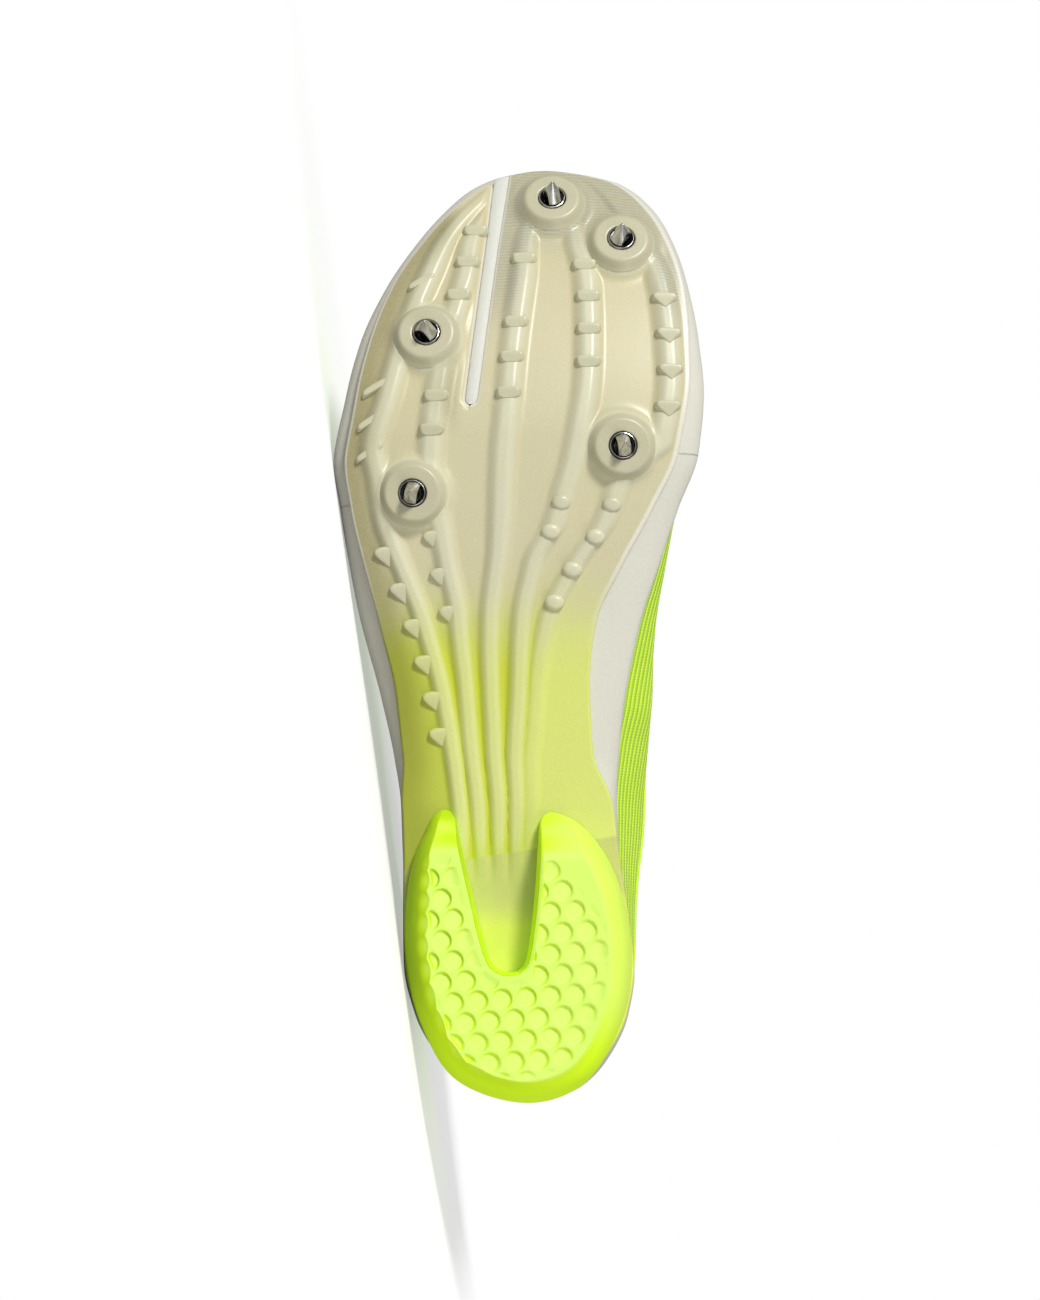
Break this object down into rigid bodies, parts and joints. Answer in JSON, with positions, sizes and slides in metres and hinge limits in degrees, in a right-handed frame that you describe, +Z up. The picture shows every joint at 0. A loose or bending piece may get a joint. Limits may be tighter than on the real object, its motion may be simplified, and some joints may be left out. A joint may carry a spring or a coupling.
{
  "type": "track spike shoe",
  "caption": "Right-foot sprint shoe with knitted upper, foam midsole, ribbed spike plate with screw-in spikes and a horseshoe heel pad, lying on its lateral side",
  "frame": {"origin": "centre of the bounding box on the floor, with the shoe lying on its lateral side", "axes": "+Z is up; the sole faces -Y; the toe points to -X and the heel to +X; the medial side is up"},
  "size_m": [0.2802, 0.1174, 0.1135],
  "materials": {
    "ivory_plate": "translucent, satin",
    "white_foam": "fine pebbled foam",
    "lime_rubber": "matte",
    "lime_knit": "ribbed knit",
    "grey_lining": "brushed",
    "white_lace": "flat woven",
    "polished_steel": "polished",
    "dark_steel": "machined"
  },
  "bodies": {
    "root": {"outsole_plate": "ivory_plate", "midsole": "white_foam", "heel_pad": "lime_rubber", "upper": "lime_knit", "tongue": "lime_knit", "insole": "grey_lining", "spike_socket_1": "dark_steel", "spike_socket_2": "dark_steel", "spike_socket_3": "dark_steel", "spike_socket_4": "dark_steel", "spike_socket_5": "dark_steel", "spike_1": "polished_steel", "spike_2": "polished_steel", "spike_3": "polished_steel", "spike_4": "polished_steel", "spike_5": "polished_steel", "lace_bar": "white_lace", "lace_crossing_1": "white_lace", "lace_crossing_2": "white_lace", "lace_crossing_3": "white_lace", "lace_crossing_4": "white_lace"}
  },
  "joints": []
}
